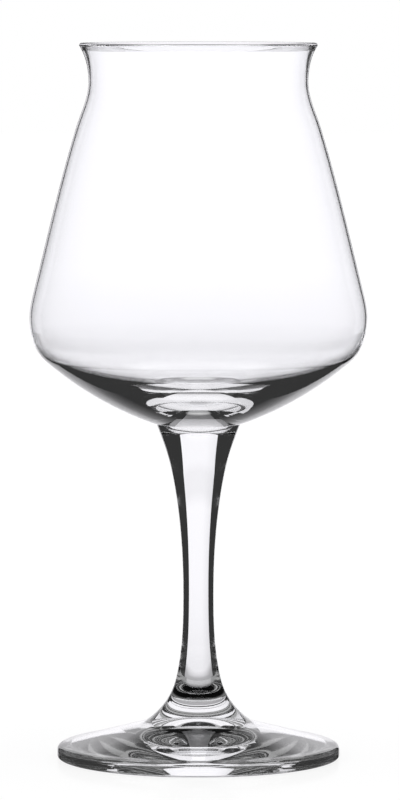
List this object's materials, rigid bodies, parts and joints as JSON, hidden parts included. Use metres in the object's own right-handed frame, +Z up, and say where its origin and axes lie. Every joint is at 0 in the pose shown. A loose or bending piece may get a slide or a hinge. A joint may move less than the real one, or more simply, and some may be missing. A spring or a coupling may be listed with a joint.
{
  "type": "stemmed drinking glass",
  "caption": "Clear stemmed glass: a rounded belly under a long tapering shoulder, a pinched neck and a flared lip, on a slim drawn stem and a wide shallow cone foot.",
  "frame": {"origin": "centre of the ring that the foot rests on", "axes": "+Z up along the axis of the glass, from the foot to the mouth"},
  "size_m": [0.0954, 0.0954, 0.2024],
  "materials": {
    "bowl_glass": "clear, fire-polished",
    "stem_glass": "clear, fire-polished",
    "foot_glass": "clear, fire-polished"
  },
  "bodies": {
    "root": {"bowl": "bowl_glass", "stem": "stem_glass", "foot": "foot_glass"}
  },
  "joints": []
}
